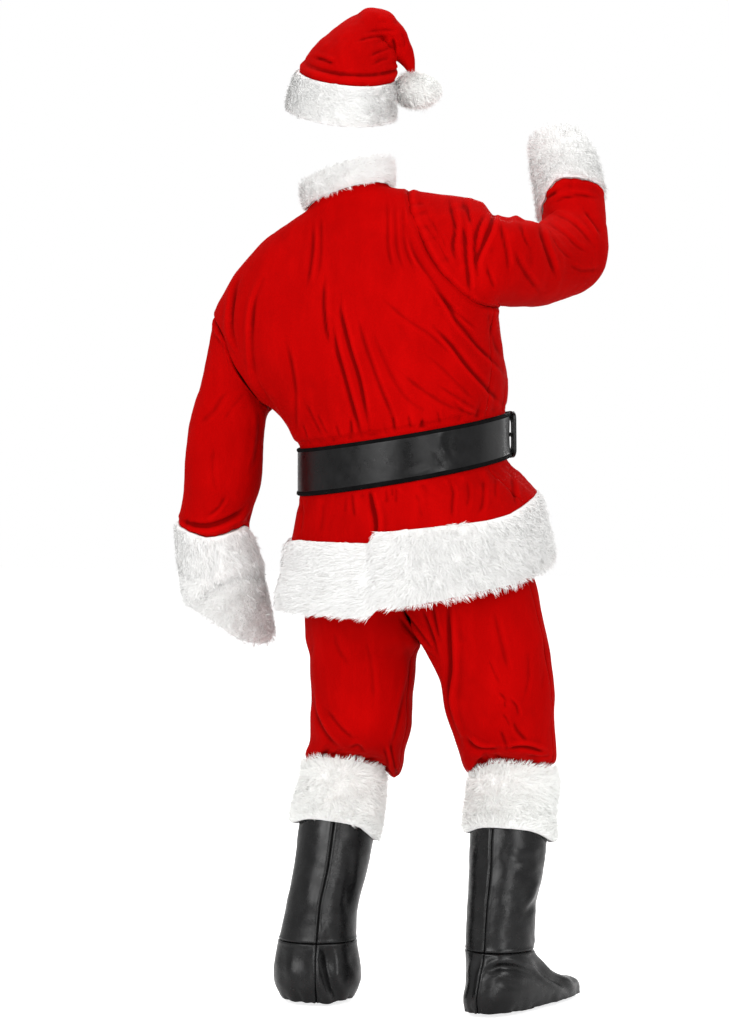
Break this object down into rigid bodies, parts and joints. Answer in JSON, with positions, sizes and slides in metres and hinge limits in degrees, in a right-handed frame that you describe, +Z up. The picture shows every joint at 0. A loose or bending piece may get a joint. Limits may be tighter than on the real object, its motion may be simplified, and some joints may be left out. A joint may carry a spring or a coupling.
{
  "type": "santa suit",
  "caption": "Worn santa suit: fur-trimmed velour jacket and trousers, wide belt, bobble hat and fur-topped boot covers, hollow and held in a walking pose.",
  "frame": {"origin": "middle of the neck opening, where the wearer's neck and shoulders carry the jacket", "axes": "+Z up, -Y the way the jacket's closure faces, +X to the wearer's left"},
  "size_m": [0.7528, 0.6264, 1.8931],
  "materials": {
    "red_velour": "velour pile",
    "white_plush": "long pile faux fur",
    "black_leatherette": "semi gloss",
    "matt_black_binding": "matt",
    "black_buckle": "gloss"
  },
  "bodies": {
    "root": {"belt_binding_top": "matt_black_binding", "belt_binding_under": "matt_black_binding", "belt_buckle": "black_buckle", "belt_prong": "black_buckle", "belt_strap": "black_leatherette", "boot_left_foot_inner": "black_leatherette", "boot_left_foot_outer": "black_leatherette", "boot_left_fur": "white_plush", "boot_left_shaft_inner": "black_leatherette", "boot_left_shaft_outer": "black_leatherette", "boot_left_strap": "matt_black_binding", "boot_right_foot_inner": "black_leatherette", "boot_right_foot_outer": "black_leatherette", "boot_right_fur": "white_plush", "boot_right_shaft_inner": "black_leatherette", "boot_right_shaft_outer": "black_leatherette", "boot_right_strap": "matt_black_binding", "collar_fur": "white_plush", "cuff_fur_left": "white_plush", "cuff_fur_right": "white_plush", "front_fur": "white_plush", "hat_crown": "red_velour", "hat_fur": "white_plush", "hat_pompom": "white_plush", "hem_fur": "white_plush", "jacket_back": "red_velour", "jacket_front_left": "red_velour", "jacket_front_right": "red_velour", "sleeve_left": "red_velour", "sleeve_right": "red_velour", "trouser_left_back": "red_velour", "trouser_left_front": "red_velour", "trouser_right_back": "red_velour", "trouser_right_front": "red_velour", "trouser_waistband": "red_velour"}
  },
  "joints": []
}
